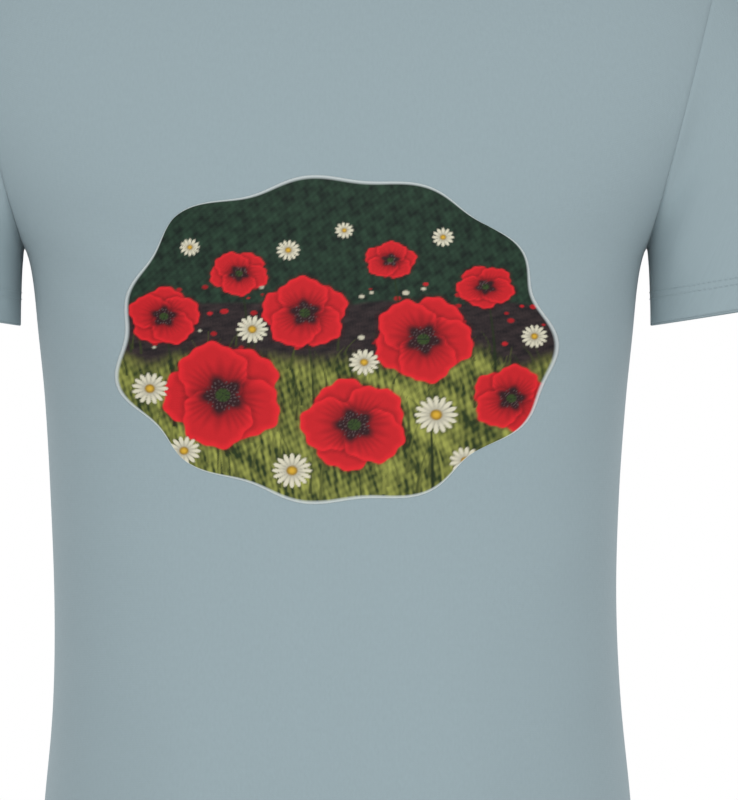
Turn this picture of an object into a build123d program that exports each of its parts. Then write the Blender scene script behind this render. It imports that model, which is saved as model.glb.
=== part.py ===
from build123d import *

import math
import os

# A short-sleeved crew-neck T-shirt in its worn shape, hollow, as if round an unseen wearer.
# Millimetres. +Z is up and the front faces -Y. The origin is midway between the high shoulder
# points, beside the neck, so the shirt hangs below it. The wearer's left is at +X.

# Cloth
cloth = 0.8                  # single jersey
rib_cloth = 2.0              # two plies of folded rib knit
rib_proud = 0.5              # how far the rib stands out of the jersey beside it
ply_gap = 0.35               # air between layers that lie on each other
tape_cloth = 0.7
seam_bulk = 1.2              # an overlocked seam allowance, pressed flat
seam_allowance = 6.0         # its width
print_film = 0.3             # ink on the chest

# Body of the shirt
body_length = 700.0          # high shoulder point to hem
underarm_drop = 268.0        # high shoulder point down to the underarm
underarm_half_width = 196.0
shoulder_half_width = 243.0  # centre to the armhole seam at the shoulder
shoulder_drop = 80.0         # high shoulder point down to that seam's top
hem_depth = 22.0             # turned-up band at the bottom and on the sleeves
squareness = 2.25            # of a level section: 2 is an ellipse, more is squarer

# Neck
neck_half_width = 90.0       # centre to the collar seam at the shoulder
front_neck_drop = 100.0
back_neck_drop = 24.0
collar_width = 19.0
collar_rise = 16.0           # collar edge above the high shoulder point
collar_lean = 15.0           # how far the standing collar comes in towards the neck
tape_width = 12.0

# Sleeves, hanging beside the body
sleeve_hem_inner_x = 198.0
sleeve_hem_drop = 317.0      # high shoulder point down to the inner corner of the hem
sleeve_hem_width = 122.0     # seen from the front
sleeve_hem_slope = 9.0       # degrees, outer corner higher
sleeve_hem_depth = 52.0      # half of the opening, front to back
sleeve_length = 225.0        # armhole to hem along the top

# Print on the chest, a scalloped oval
print_half_width = 137.0
print_half_height = 102.0
print_drop = 327.0           # high shoulder point to its middle
scallops = 11
scallop_depth = 5.0

# How finely the surfaces are drawn
row_step = 10.0
turn_step = math.radians(7.5)
sleeve_rows = 20
shoulder_columns = 12
neck_columns = 24

# The body's outline: drop below the high shoulder point, half width, front depth, back depth.
# Between shoulder and underarm it bulges past the armholes, where the cloth is left out.
SILHOUETTE = [
    (-38.0, 69.0, 50.0, 50.0),
    (-collar_rise, neck_half_width - collar_lean, 52.0, 54.0),
    (0.0, neck_half_width, 57.0, 60.0),
    (15.0, 140.0, 62.0, 67.0),
    (38.0, 190.0, 70.0, 77.0),
    (62.0, 226.0, 79.0, 85.0),
    (shoulder_drop + 5.0, shoulder_half_width + 6.0, 88.0, 92.0),
    (115.0, 263.0, 100.0, 99.0),
    (150.0, 264.0, 110.0, 104.0),
    (190.0, 252.0, 117.0, 106.0),
    (225.0, 229.0, 120.0, 106.0),
    (250.0, 209.0, 121.0, 105.0),
    (underarm_drop, underarm_half_width, 120.0, 104.0),
    (275.0, 192.8, 120.0, 103.0),
    (292.0, 189.6, 119.0, 102.0),
    (320.0, 186.8, 117.0, 100.0),
    (364.0, 182.4, 112.0, 97.0),
    (427.0, 178.3, 107.0, 95.0),
    (490.0, 176.4, 105.0, 97.0),
    (553.0, 178.2, 106.0, 103.0),
    (616.0, 183.7, 109.0, 110.0),
    (body_length, 190.0, 113.0, 117.0),
]

# Sleeve sections from the armhole to the hem: inner x and drop, outer x and drop, half depth
SLEEVE_ROWS = [
    (196.6, 274.0, 262.0, 104.0, 62.0),
    (197.2, 283.0, 285.0, 146.0, 60.0),
    (197.6, 295.0, 303.0, 203.0, 57.0),
    (197.9, 306.0, 314.0, 255.0, 54.5),
]

# Turns go round from the wearer's left side, or from a sleeve's underarm, by the back. A piece
# that goes all the way round stops just short of itself, at the seam that joins its edges.
BACK = 0, math.pi
AROUND = 0.001, 2 * math.pi - 0.001


def between(rows, position):
    """The sizes at a position, on a smooth curve through rows that start with theirs."""
    k = max([i for i in range(len(rows) - 1) if position >= rows[i][0]], default=0)
    low, high = rows[k], rows[k + 1]
    before, after = rows[max(k - 1, 0)], rows[min(k + 2, len(rows) - 1)]
    span = high[0] - low[0]
    t = (position - low[0]) / span
    sizes = []
    for j in range(1, len(low)):
        leave = (high[j] - before[j]) / (high[0] - before[0]) * span
        arrive = (after[j] - low[j]) / (after[0] - low[0]) * span
        value = (2 * t**3 - 3 * t**2 + 1) * low[j] + (t**3 - 2 * t**2 + t) * leave
        value += (3 * t**2 - 2 * t**3) * high[j] + (t**3 - t**2) * arrive
        sizes.append(value)
    return sizes


def steps(start, end, count):
    """Evenly spaced values from start to end."""
    return [start + (end - start) * k / count for k in range(count + 1)]


def turns(span):
    """Evenly spaced turns over a span."""
    return steps(*span, round(abs(span[1] - span[0]) / turn_step))


def squared(value):
    """A cosine or sine, bent so that the ring it draws is a little squarer than an ellipse."""
    return 0.0 if abs(value) < 1e-9 else math.copysign(abs(value) ** (2 / squareness), value)


def outwards(x, y, z):
    """How far a point is outside the body form, and the direction straight out."""
    half, front, back = between(SILHOUETTE, -z)
    upper, lower = between(SILHOUETTE, -z - 0.5), between(SILHOUETTE, -z + 0.5)
    which = 1 if y < 0 else 2
    depth = front if y < 0 else back
    across, deep = abs(x / half) ** squareness, abs(y / depth) ** squareness
    rise = across * (upper[0] - lower[0]) / half + deep * (upper[which] - lower[which]) / depth
    slope = Vector(
        math.copysign(abs(x / half) ** (squareness - 1) / half, x),
        math.copysign(abs(y / depth) ** (squareness - 1) / depth, y),
        -rise,
    )
    return (across + deep - 1) / squareness / slope.length, slope.normalized()


def body_point(turn, drop, offset):
    """A point on the body form, offset millimetres out."""
    half, front, back = between(SILHOUETTE, drop)
    depth = back if math.sin(turn) > 0 else front
    x, y = half * squared(math.cos(turn)), depth * squared(math.sin(turn))
    return Vector(x, y, -drop) + outwards(x, y, -drop)[1] * offset


def turn_at(x, drop, front):
    """The turn at which the body form reaches x at a drop."""
    ratio = min(abs(x) / between(SILHOUETTE, drop)[0], 1)
    turn = math.acos(math.copysign(ratio ** (squareness / 2), x))
    return 2 * math.pi - turn if front else turn


def armhole_point(side, turn, inset=0):
    """A point of the armhole seam, or of a line inset towards the body, on the body form."""
    inwards = Vector(
        -side * (underarm_drop - shoulder_drop), 0, shoulder_half_width - underarm_half_width
    ).normalized() * inset
    low = Vector(side * underarm_half_width, 0, -underarm_drop) + inwards
    high = Vector(side * shoulder_half_width, 0, -shoulder_drop) + inwards
    ray = (low - high) / 2 * math.cos(turn) + Vector(0, 75.0, 0) * math.sin(turn)
    near, far = 0.3, 1.6
    for _ in range(30):
        guess = (near + far) / 2
        point = (low + high) / 2 + ray * guess
        if point.Z > -underarm_drop - inset and outwards(*point)[0] < 0:
            near = guess
        else:
            far = guess
    return (low + high) / 2 + ray * near


def neck_place(turn, share):
    """Turn and drop on the body form: share 0 is the collar's seam and 1 its free edge."""
    front = math.sin(turn) < 0
    fall = front_neck_drop if front else back_neck_drop
    fall += (collar_rise - collar_width) * share
    drop = fall * abs(squared(math.sin(turn))) - collar_rise * share
    x = (neck_half_width - collar_lean * share) * squared(math.cos(turn))
    return turn_at(x, drop, front), drop


def side_edge(side, front, share):
    """A panel's side edge, from the hem at 0 up the side seam and the armhole to 1."""
    if share > 0.5:
        turn = math.pi * (2 * share - 1)
        return armhole_point(side, -turn if front else turn)
    drop = body_length + (underarm_drop - body_length) * 2 * share
    return body_point(0 if side > 0 else math.pi, drop, 0)


def evenly(points, count):
    """Points at even distances along a line of closely set points."""
    lengths = [0.0]
    for one, two in zip(points, points[1:]):
        lengths.append(lengths[-1] + (two - one).length)
    spread, k = [], 0
    for target in steps(0, lengths[-1], count):
        while k < len(points) - 2 and lengths[k + 1] < target:
            k += 1
        share = (target - lengths[k]) / max(lengths[k + 1] - lengths[k], 1e-9)
        spread.append(points[k] + (points[k + 1] - points[k]) * min(share, 1))
    return spread


def neck_line(start, end, share, count):
    """Evenly spread points along a line of the collar, from one turn to another."""
    fine = [start + (end - start) * (1 - math.cos(math.pi * t)) / 2 for t in steps(0, 1, 300)]
    return evenly([body_point(*neck_place(turn, share), 0) for turn in fine], count)


def top_edge(front):
    """A panel's top edge: shoulder, neckline and the other shoulder."""
    top = -armhole_point(1, math.pi).Z
    shoulder = evenly([body_point(0, top * t**2, 0) for t in steps(1, 0, 100)], shoulder_columns)
    other = [Vector(-point.X, point.Y, point.Z) for point in reversed(shoulder)]
    neck = neck_line(0, -math.pi if front else math.pi, 0, neck_columns)
    return shoulder[:-1] + neck + other[1:]


def settled(point):
    """The place on the body form nearest to a point."""
    for _ in range(12):
        level, out = outwards(*point)
        point = point - out * level
    return point


def panel_grid(front):
    """The front or the back from its hem, between its side seams, to its armholes and neck."""
    tops = top_edge(front)
    across = steps(0, 1, len(tops) - 1)
    up = steps(0, 0.5, 40) + steps(0.5, 1, 24)[1:]
    hems = [body_point(-math.pi * s if front else math.pi * s, body_length, 0) for s in across]
    grid = []
    for v in up:
        left, right = side_edge(1, front, v), side_edge(-1, front, v)
        row = []
        for s, hem, top in zip(across, hems, tops):
            low_corner = hems[0] * (1 - s) + hems[-1] * s
            high_corner = tops[0] * (1 - s) + tops[-1] * s
            point = hem * (1 - v) + top * v + left * (1 - s) + right * s
            point = point - low_corner * (1 - v) - high_corner * v
            row.append(settled(point) if 0 < v < 1 and 0 < s < 1 else point)
        grid.append(row)
    return grid


def lifted(grid, offset):
    """A grid of points on the body form, moved straight out."""
    return [[point + outwards(*point)[1] * offset for point in row] for row in grid]


def panel_face(front, offset):
    """A panel's surface, offset millimetres out."""
    return lifted(panel_grid(front), offset)


def ruled(one, two):
    """The face between two lines."""
    return Face.make_surface_from_curves(one, two)


def layer(outer, inner, corners=()):
    """The solid between two grids of points, smooth along their rows but for corner columns."""
    faces = []
    columns = [0, *corners, len(outer[0]) - 1]
    for start, stop in zip(columns, columns[1:]):
        curves = []
        for grid in (outer, inner):
            lines = [Spline(*row[start:stop + 1]).edge() for row in grid]
            faces += [ruled(one, two) for one, two in zip(lines, lines[1:])]
            curves.append(lines)
        faces += [ruled(curves[0][end], curves[1][end]) for end in (0, -1)]
    for end in (0, -1):
        for k in range(len(outer) - 1):
            edges = [Edge.make_line(grid[k][end], grid[k + 1][end]) for grid in (outer, inner)]
            faces.append(ruled(*edges))
    return Solid(Shell(faces))


def plies(face_at, outer_offset, thickness, corners=()):
    """The solid from an offset of a piece's face inwards."""
    return layer(face_at(outer_offset), face_at(outer_offset - thickness), corners)


def collar_face(offset):
    """The collar from its seam to its free edge."""
    rows = []
    for share in steps(0, 1, 4):
        back = neck_line(AROUND[0], math.pi, share, neck_columns)
        rows.append(back + neck_line(math.pi, AROUND[1], share, neck_columns)[1:])
    return lifted(rows, offset)


def tape_face(offset):
    """The tape inside the back neck, below the collar's seam."""
    shares = steps(-0.5 / collar_width, -tape_width / collar_width, 3)
    return lifted([neck_line(*BACK, share, neck_columns) for share in shares], offset)


def hem_face(offset):
    """The bottom hem's turned-up ply."""
    drops = steps(body_length - hem_depth, body_length, 3)
    return [[body_point(turn, drop, offset) for turn in turns(AROUND)] for drop in drops]


def sleeve_point(side, turn, share, offset):
    """A point on a sleeve, from the armhole at 0 to the hem at 1."""
    slope = math.radians(sleeve_hem_slope)
    hem = (
        sleeve_hem_inner_x, sleeve_hem_drop,
        sleeve_hem_inner_x + sleeve_hem_width * math.cos(slope),
        sleeve_hem_drop - sleeve_hem_width * math.sin(slope),
        sleeve_hem_depth,
    )
    start = armhole_point(side, turn)
    rows = SLEEVE_ROWS + [hem]
    line = [(0.0, *(start + outwards(*start)[1] * offset))]
    for k, (inner_x, inner_drop, outer_x, outer_drop, depth) in enumerate(rows):
        inner = Vector(side * inner_x, 0, -inner_drop)
        outer = Vector(side * outer_x, 0, -outer_drop)
        along = (inner - outer) / 2
        along = along * (1 + offset / along.length)
        point = (inner + outer) / 2 + along * squared(math.cos(turn))
        point += Vector(0, (depth + offset) * squared(math.sin(turn)), 0)
        line.append(((k + 1) / len(rows), *point))
    return Vector(*between(line, share))


def sleeve_face(side, offset, from_share, to_share, rows):
    """A sleeve's cloth between two shares of its length."""
    shares = steps(from_share, to_share, rows)
    return [[sleeve_point(side, turn, share, offset) for share in shares] for turn in turns(AROUND)]


def underarm_face(side, offset):
    """The underarm seam's allowance, behind the seam."""
    widest = math.asin((seam_allowance / sleeve_hem_depth) ** (squareness / 2))
    shares = steps(0.05, 1 - hem_depth / sleeve_length, 8)
    around = steps(0.001, widest, 3)
    return [[sleeve_point(side, turn, share, offset) for share in shares] for turn in around]


def armhole_seam_face(side, offset):
    """The armhole seam's allowance, on the body's side of the seam."""
    grid = []
    for inset in steps(0.5, seam_allowance, 3):
        points = [armhole_point(side, turn, inset) for turn in turns(AROUND)]
        grid.append([point + outwards(*point)[1] * offset for point in points])
    return grid


def long_seam_face(side, drops, offset):
    """An allowance behind the side or the shoulder seam, between two drops."""
    grid = []
    for drop in steps(*drops, max(6, round((drops[1] - drops[0]) / row_step))):
        depth = between(SILHOUETTE, drop)[2]
        row = []
        for y in steps(0, seam_allowance, 3):
            turn = math.asin((y / depth) ** (squareness / 2))
            row.append(body_point(turn if side > 0 else math.pi - turn, drop, offset))
        grid.append(row)
    return grid


def print_face(offset):
    """The print, a scalloped oval on the chest."""
    grid = []
    for a in steps(-1, 1, 28):
        row = []
        for b in steps(-1, 1, 28):
            across, up = a * math.sqrt(1 - b * b / 2), b * math.sqrt(1 - a * a / 2)
            angle = math.atan2(up, across)
            swell = 1 + scallop_depth / print_half_height / 2 * math.cos(scallops * angle)
            x = print_half_width * across * swell
            drop = print_drop - print_half_height * up * swell
            row.append(body_point(turn_at(x, drop, True), drop, offset))
        grid.append(row)
    return grid


os.makedirs("parts", exist_ok=True)

inside = -cloth - ply_gap
hem_share = 1 - hem_depth / sleeve_length
shoulder_seam_drops = 4.0, shoulder_drop - 6.0
side_seam_drops = underarm_drop + 12.0, body_length - hem_depth - 1
high_points = shoulder_columns, shoulder_columns + neck_columns

pieces = {
    "front_panel": plies(lambda offset: panel_face(True, offset), 0, cloth, high_points),
    "back_panel": plies(lambda offset: panel_face(False, offset), 0, cloth, high_points),
    "collar_rib": plies(collar_face, rib_proud, rib_cloth),
    "neck_tape": plies(tape_face, inside, tape_cloth),
    "hem_turn": plies(hem_face, inside, cloth),
    "chest_print": plies(print_face, ply_gap + print_film, print_film),
}
for side, name in ((1, "left"), (-1, "right")):
    faces = {
        "sleeve": (lambda offset: sleeve_face(side, offset, 0, 1, sleeve_rows), 0, cloth),
        "sleeve_hem_turn": (lambda offset: sleeve_face(side, offset, hem_share, 1, 4), inside, cloth),
        "armhole_seam": (lambda offset: armhole_seam_face(side, offset), inside, seam_bulk),
        "underarm_seam": (lambda offset: underarm_face(side, offset), inside, seam_bulk),
        "shoulder_seam": (
            lambda offset: long_seam_face(side, shoulder_seam_drops, offset), inside, seam_bulk
        ),
        "side_seam": (
            lambda offset: long_seam_face(side, side_seam_drops, offset), inside, seam_bulk
        ),
    }
    for kind, (face_at, outer_offset, thickness) in faces.items():
        pieces[f"{name}_{kind}"] = plies(face_at, outer_offset, thickness)

for name, piece in pieces.items():
    export_step(piece, f"parts/{name}.step")
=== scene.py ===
# A grey-blue crew-neck T-shirt with a printed chest, in its worn shape, as if round a wearer.
# Shapes are worked out in millimetres in the frame's own axes and written to meshes in metres.
import math
import random

import bpy
import numpy as np
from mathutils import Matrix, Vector


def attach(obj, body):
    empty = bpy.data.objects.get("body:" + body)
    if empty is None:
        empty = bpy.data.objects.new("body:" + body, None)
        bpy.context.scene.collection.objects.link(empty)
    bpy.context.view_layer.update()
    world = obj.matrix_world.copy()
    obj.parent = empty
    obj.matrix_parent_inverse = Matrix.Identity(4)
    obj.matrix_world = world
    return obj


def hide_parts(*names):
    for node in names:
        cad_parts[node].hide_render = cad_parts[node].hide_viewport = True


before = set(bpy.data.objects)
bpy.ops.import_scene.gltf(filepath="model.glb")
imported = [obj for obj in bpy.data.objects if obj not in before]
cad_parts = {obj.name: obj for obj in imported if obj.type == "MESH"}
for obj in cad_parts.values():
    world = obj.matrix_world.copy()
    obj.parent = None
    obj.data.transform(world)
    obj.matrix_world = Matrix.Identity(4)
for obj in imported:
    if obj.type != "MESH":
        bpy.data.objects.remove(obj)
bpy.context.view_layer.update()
MM = 0.001

# Cloth
cloth = 0.8
rib_cloth = 2.0
ply_gap = 0.35
tape_cloth = 0.7
seam_bulk = 1.2
seam_allowance = 6.0
hem_fold = 0.6
seam_groove = 0.6
seam_pull = 0.15
rib_proud = 0.5
rib_pitch = 2.6
rib_height = 0.36
overlock_ridge = 0.2
overlock_pitch = 2.6
film_rim = 0.05

# Stitches
stitch_thread = 0.4
stitch_pitch = 3.4
stitch_rows = (5.5, 1.5)
stitch_clear = 0.05
# Their sections: share of the length, then width and height in thread diameters
STITCH_SECTIONS = (
    (0.0, 0.35, -0.7),
    (0.16, 1.0, 0.5),
    (0.5, 1.05, 0.75),
    (0.84, 1.0, 0.5),
    (1.0, 0.35, -0.7),
)

# Body, as in the frame
body_length = 700.0
underarm_drop = 268.0
underarm_half_width = 196.0
shoulder_half_width = 243.0
shoulder_drop = 80.0
armhole_half_depth = 75.0
hem_depth = 22.0
squareness = 2.25
neck_half_width = 90.0
front_neck_drop = 100.0
back_neck_drop = 24.0
collar_width = 19.0
collar_rise = 16.0
collar_lean = 15.0
tape_width = 12.0
neck_round = 0.12
sleeve_hem_inner_x = 198.0
sleeve_hem_drop = 317.0
sleeve_hem_width = 122.0
sleeve_hem_slope = 9.0
sleeve_hem_depth = 52.0
sleeve_roundness = 1.1
print_half_width = 133.0
print_half_height = 99.0
print_drop = 327.0

# Folds outside the table
fold_bend = 0.12
hem_flutes = 3.2
waist_slack = 1.5

# Panel grids
row_spacing = 0.72
eased_columns = 7
eased_rounds = 40
eased_reach = 30.0
print_columns = 313
print_rows = 235

# Colours of cloth and thread
JERSEY = (0.318, 0.402, 0.429)
TAPE = (0.330, 0.415, 0.440)
THREAD = (0.335, 0.420, 0.447)
FLOOR = (0.85, 0.86, 0.87)

# Light, floor and camera
world_colour = (0.95, 0.965, 0.985)
world_strength = 0.48
light_target = (0, 0, -0.35)
floor_height = -0.72
floor_radius = 1.2
camera_x = 0.021
camera_z = -0.364
camera_distance = 3.5
height_in_view = 0.503
# Softboxes: name, place, size, watts
SOFTBOXES = [
    ("key", (-1.2, -3.2, 0.7), 2.2, 40),
    ("fill", (1.5, -3.0, 0.1), 2.2, 30),
    ("back_left", (-1.8, 2.0, 0.6), 1.6, 26),
    ("back_right", (1.8, 2.0, 0.6), 1.6, 26),
]

# Drop below the high shoulder point, half width, front depth, back depth
SILHOUETTE = np.array([
    (-38.0, 69.0, 50.0, 50.0),
    (-collar_rise, neck_half_width - collar_lean, 52.0, 54.0),
    (0.0, neck_half_width, 57.0, 60.0),
    (15.0, 140.0, 62.0, 67.0),
    (38.0, 190.0, 70.0, 77.0),
    (62.0, 226.0, 79.0, 85.0),
    (shoulder_drop + 5.0, shoulder_half_width + 6.0, 88.0, 92.0),
    (115.0, 263.0, 100.0, 99.0),
    (150.0, 264.0, 110.0, 104.0),
    (190.0, 252.0, 117.0, 106.0),
    (225.0, 229.0, 120.0, 106.0),
    (250.0, 209.0, 121.0, 105.0),
    (underarm_drop, underarm_half_width, 120.0, 104.0),
    (275.0, 192.8, 120.0, 103.0),
    (292.0, 189.6, 119.0, 102.0),
    (320.0, 186.8, 117.0, 100.0),
    (364.0, 182.4, 112.0, 97.0),
    (427.0, 178.3, 107.0, 95.0),
    (490.0, 176.4, 105.0, 97.0),
    (553.0, 178.2, 106.0, 103.0),
    (616.0, 183.7, 109.0, 110.0),
    (body_length, 190.0, 113.0, 117.0),
])

# Sleeve sections from the armhole to the hem: inner x and drop, outer x and drop, half depth
SLEEVE_ROWS = [
    (196.6, 274.0, 262.0, 104.0, 62.0),
    (197.2, 283.0, 285.0, 146.0, 60.0),
    (197.6, 295.0, 303.0, 203.0, 57.0),
    (197.9, 306.0, 314.0, 255.0, 54.5),
]

# Soft folds: from x and drop, to x and drop, half width, height, and which side they are on.
# A fold is highest near its start. Front is -1, back 1.
FOLDS = [
    (190.0, 262.0, 92.0, 326.0, 17.0, 2.4, -1),
    (-190.0, 264.0, -88.0, 338.0, 17.0, 2.2, -1),
    (192.0, 282.0, 108.0, 398.0, 16.0, 1.8, -1),
    (-192.0, 284.0, -114.0, 408.0, 16.0, 1.7, -1),
    (176.0, 438.0, 60.0, 474.0, 20.0, 1.3, -1),
    (-176.0, 455.0, -70.0, 488.0, 20.0, 1.2, -1),
    (178.0, 528.0, 84.0, 562.0, 20.0, 1.3, -1),
    (-176.0, 545.0, -60.0, 572.0, 20.0, 1.4, -1),
    (192.0, 266.0, 70.0, 356.0, 17.0, 6.5, 1),
    (-192.0, 266.0, -76.0, 350.0, 17.0, 6.5, 1),
    (190.0, 300.0, 90.0, 430.0, 15.0, 4.6, 1),
    (-190.0, 304.0, -82.0, 438.0, 15.0, 4.8, 1),
    (178.0, 426.0, 10.0, 486.0, 16.0, 5.6, 1),
    (-178.0, 444.0, 0.0, 504.0, 16.0, 5.0, 1),
    (176.0, 500.0, 30.0, 540.0, 14.0, 4.4, 1),
    (-178.0, 518.0, -40.0, 556.0, 14.0, 4.6, 1),
    (204.0, 290.0, 284.0, 200.0, 12.0, 2.6, -1),
    (-204.0, 290.0, -284.0, 200.0, 12.0, 2.6, -1),
    (204.0, 290.0, 282.0, 190.0, 12.0, 4.2, 1),
    (-204.0, 290.0, -282.0, 194.0, 12.0, 4.2, 1),
    (214.0, 306.0, 300.0, 250.0, 11.0, 2.4, 1),
    (-214.0, 306.0, -300.0, 254.0, 11.0, 2.4, 1),
]


def between(rows, position):
    """Sizes at positions, on a smooth curve through rows that start with theirs."""
    position = np.asarray(position, float)
    k = np.clip(np.searchsorted(rows[:, 0], position, side="right") - 1, 0, len(rows) - 2)
    low, high = rows[k], rows[k + 1]
    before, after = rows[np.maximum(k - 1, 0)], rows[np.minimum(k + 2, len(rows) - 1)]
    span = (high[..., 0] - low[..., 0])[..., None]
    t = (position - low[..., 0])[..., None] / span
    leave = (high - before)[..., 1:] / (high - before)[..., :1] * span
    arrive = (after - low)[..., 1:] / (after - low)[..., :1] * span
    value = (2 * t**3 - 3 * t**2 + 1) * low[..., 1:] + (t**3 - 2 * t**2 + t) * leave
    return value + (3 * t**2 - 2 * t**3) * high[..., 1:] + (t**3 - t**2) * arrive


def bent(value, power):
    """Cosines or sines raised to a power, with their signs kept."""
    return np.sign(value) * np.abs(value) ** power


def squared(value):
    """Cosines or sines, bent so that the ring they draw is a little squarer than an ellipse."""
    return bent(value, 2 / squareness)


def outwards(points):
    """How far points are outside the body form, and the direction straight out."""
    x, y, z = points[..., 0], points[..., 1], points[..., 2]
    sizes = between(SILHOUETTE, -z)
    change = between(SILHOUETTE, -z - 0.5) - between(SILHOUETTE, -z + 0.5)
    half = sizes[..., 0]
    depth = np.where(y < 0, sizes[..., 1], sizes[..., 2])
    deepening = np.where(y < 0, change[..., 1], change[..., 2])
    across, deep = np.abs(x / half) ** squareness, np.abs(y / depth) ** squareness
    slope = np.stack([
        np.sign(x) * np.abs(x / half) ** (squareness - 1) / half,
        np.sign(y) * np.abs(y / depth) ** (squareness - 1) / depth,
        -(across * change[..., 0] / half + deep * deepening / depth),
    ], axis=-1)
    length = np.linalg.norm(slope, axis=-1)
    return (across + deep - 1) / squareness / length, slope / length[..., None]


def body_points(turn, drop):
    """Points on the body form. Turns go round from the wearer's left side by the back."""
    turn, drop = np.broadcast_arrays(np.asarray(turn, float), np.asarray(drop, float))
    sizes = between(SILHOUETTE, drop)
    sine = np.where(np.abs(np.sin(turn)) < 1e-9, 0.0, np.sin(turn))
    depth = np.where(sine > 0, sizes[..., 2], sizes[..., 1])
    return np.stack([sizes[..., 0] * squared(np.cos(turn)), depth * squared(sine), -drop], axis=-1)


def turn_at(x, drop, front):
    """The turn at which the body form reaches x at a drop."""
    ratio = np.minimum(np.abs(x) / between(SILHOUETTE, drop)[..., 0], 1)
    turn = np.arccos(np.copysign(ratio ** (squareness / 2), x))
    return np.where(front, 2 * np.pi - turn, turn)


def armhole_points(side, turn, inset=0.0):
    """Points of the armhole seam, or of a line inset towards the body, from the underarm round."""
    turn = np.asarray(turn, float)
    wider = shoulder_half_width - underarm_half_width
    inwards = np.array([-side * (underarm_drop - shoulder_drop), 0, wider])
    inwards = inwards / np.linalg.norm(inwards) * inset
    low = np.array([side * underarm_half_width, 0, -underarm_drop]) + inwards
    high = np.array([side * shoulder_half_width, 0, -shoulder_drop]) + inwards
    back = np.array([0, armhole_half_depth, 0])
    ray = (low - high) / 2 * np.cos(turn)[..., None] + back * np.sin(turn)[..., None]
    near, far = np.full(turn.shape, 0.3), np.full(turn.shape, 1.6)
    for _ in range(30):
        guess = (near + far) / 2
        point = (low + high) / 2 + ray * guess[..., None]
        inside = (point[..., 2] > -underarm_drop - inset) & (outwards(point)[0] < 0)
        near, far = np.where(inside, guess, near), np.where(inside, far, guess)
    return (low + high) / 2 + ray * near[..., None]


def neck_points(turn, share):
    """Points of the collar: share 0 is its seam, 1 its free edge, less than 0 is below the seam."""
    turn = np.asarray(turn, float)
    front = np.sin(turn) < 0
    fall = np.where(front, front_neck_drop, back_neck_drop) + (collar_rise - collar_width) * share
    whole = math.hypot(1, neck_round) - neck_round
    rounded = (np.sqrt(np.sin(turn) ** 2 + neck_round**2) - neck_round) / whole
    drop = fall * rounded - collar_rise * share
    x = (neck_half_width - collar_lean * share) * squared(np.cos(turn))
    return body_points(turn_at(x, drop, front), drop)


def length_of(line):
    """The length of a line of points."""
    return np.linalg.norm(np.diff(line, axis=0), axis=1).sum()


def evenly(points, count):
    """Points at even distances along a line of closely set points."""
    steps = np.linalg.norm(np.diff(points, axis=0), axis=1)
    lengths = np.concatenate([[0], np.cumsum(steps)])
    targets = np.linspace(0, lengths[-1], count + 1)
    return np.stack([np.interp(targets, lengths, points[:, j]) for j in range(3)], axis=1)


def neck_line(start, end, share, count):
    """Evenly spread points along a line of the collar, from one turn to another."""
    fine = start + (end - start) * (1 - np.cos(np.pi * np.linspace(0, 1, 3000))) / 2
    return evenly(neck_points(fine, share), count)


def settled(points):
    """Places on the body form for points near it: level with them, but nearest at the shoulders."""
    x, y, z = points[..., 0], points[..., 1], points[..., 2]
    sizes = between(SILHOUETTE, -z)
    depth = np.where(y < 0, sizes[..., 1], sizes[..., 2])
    reach = np.abs(x / sizes[..., 0]) ** squareness + np.abs(y / depth) ** squareness
    scale = reach ** (1 / squareness)
    level = np.stack([x / scale, y / scale, z], axis=-1)
    share = smooth(-z, 120.0, 240.0)[..., None]
    return nearest(level * share + nearest(points) * (1 - share))


def nearest(points):
    """The places on the body form nearest to points."""
    for _ in range(14):
        level, out = outwards(points)
        points = points - out * level[..., None]
    return points


def smooth(value, start, end):
    """0 before start, 1 after end, and a soft step between them."""
    t = np.clip((value - start) / (end - start), 0, 1)
    return t * t * (3 - 2 * t)


def drape(points):
    """How far folds move the cloth at points of its plain form."""
    x, y, z = points[..., 0], points[..., 1], points[..., 2]
    moved = np.zeros(points.shape)
    for x0, drop0, x1, drop1, width, height, facing in FOLDS:
        along = np.array([x1 - x0, drop0 - drop1])
        length = np.linalg.norm(along)
        along = along / length
        dx, dz = x - x0, z + drop0
        t = (dx * along[0] + dz * along[1]) / length
        bow = fold_bend * length * np.sin(np.pi * np.clip(t, 0, 1))
        off = dx * along[1] - dz * along[0] + bow
        spread = width * (0.75 + 0.7 * np.clip(t, 0, 1))
        ridge = np.exp(-(off / spread) ** 2) - 0.45 * np.exp(-((off + 1.6 * spread) / spread) ** 2)
        envelope = smooth(t, -0.12, 0.12) * (1 - smooth(t, 0.35, 1.05))
        side = smooth(y * facing, 4.0, 34.0)
        moved[..., 1] += facing * height * ridge * envelope * side
    angle = np.arctan2(y, x)
    radius = np.maximum(np.hypot(x, y), 1.0)
    body = 1 - smooth(np.abs(x) - underarm_half_width, -2.0, 4.0)
    flutes = np.sin(5 * angle + 0.9) + 0.6 * np.sin(8 * angle + 2.1)
    flutes = flutes + 0.35 * np.sin(13 * angle + 0.4)
    flutes = flutes * hem_flutes * smooth(-z, 470.0, 700.0) * body
    slack = np.sin(z / 47.0 + 2.2 * np.sin(angle * 2 + 0.6)) * np.sin(3 * angle + 0.7)
    slack = slack * waist_slack * smooth(-z, 300.0, 430.0) * body
    moved[..., 0] += (flutes + slack) * x / radius * 0.5
    moved[..., 1] += (flutes + slack) * y / radius
    return moved


def dressed(points, normals, offset):
    """Points of the form, draped, and moved straight out by an offset."""
    return points + normals * offset + drape(points)


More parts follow.
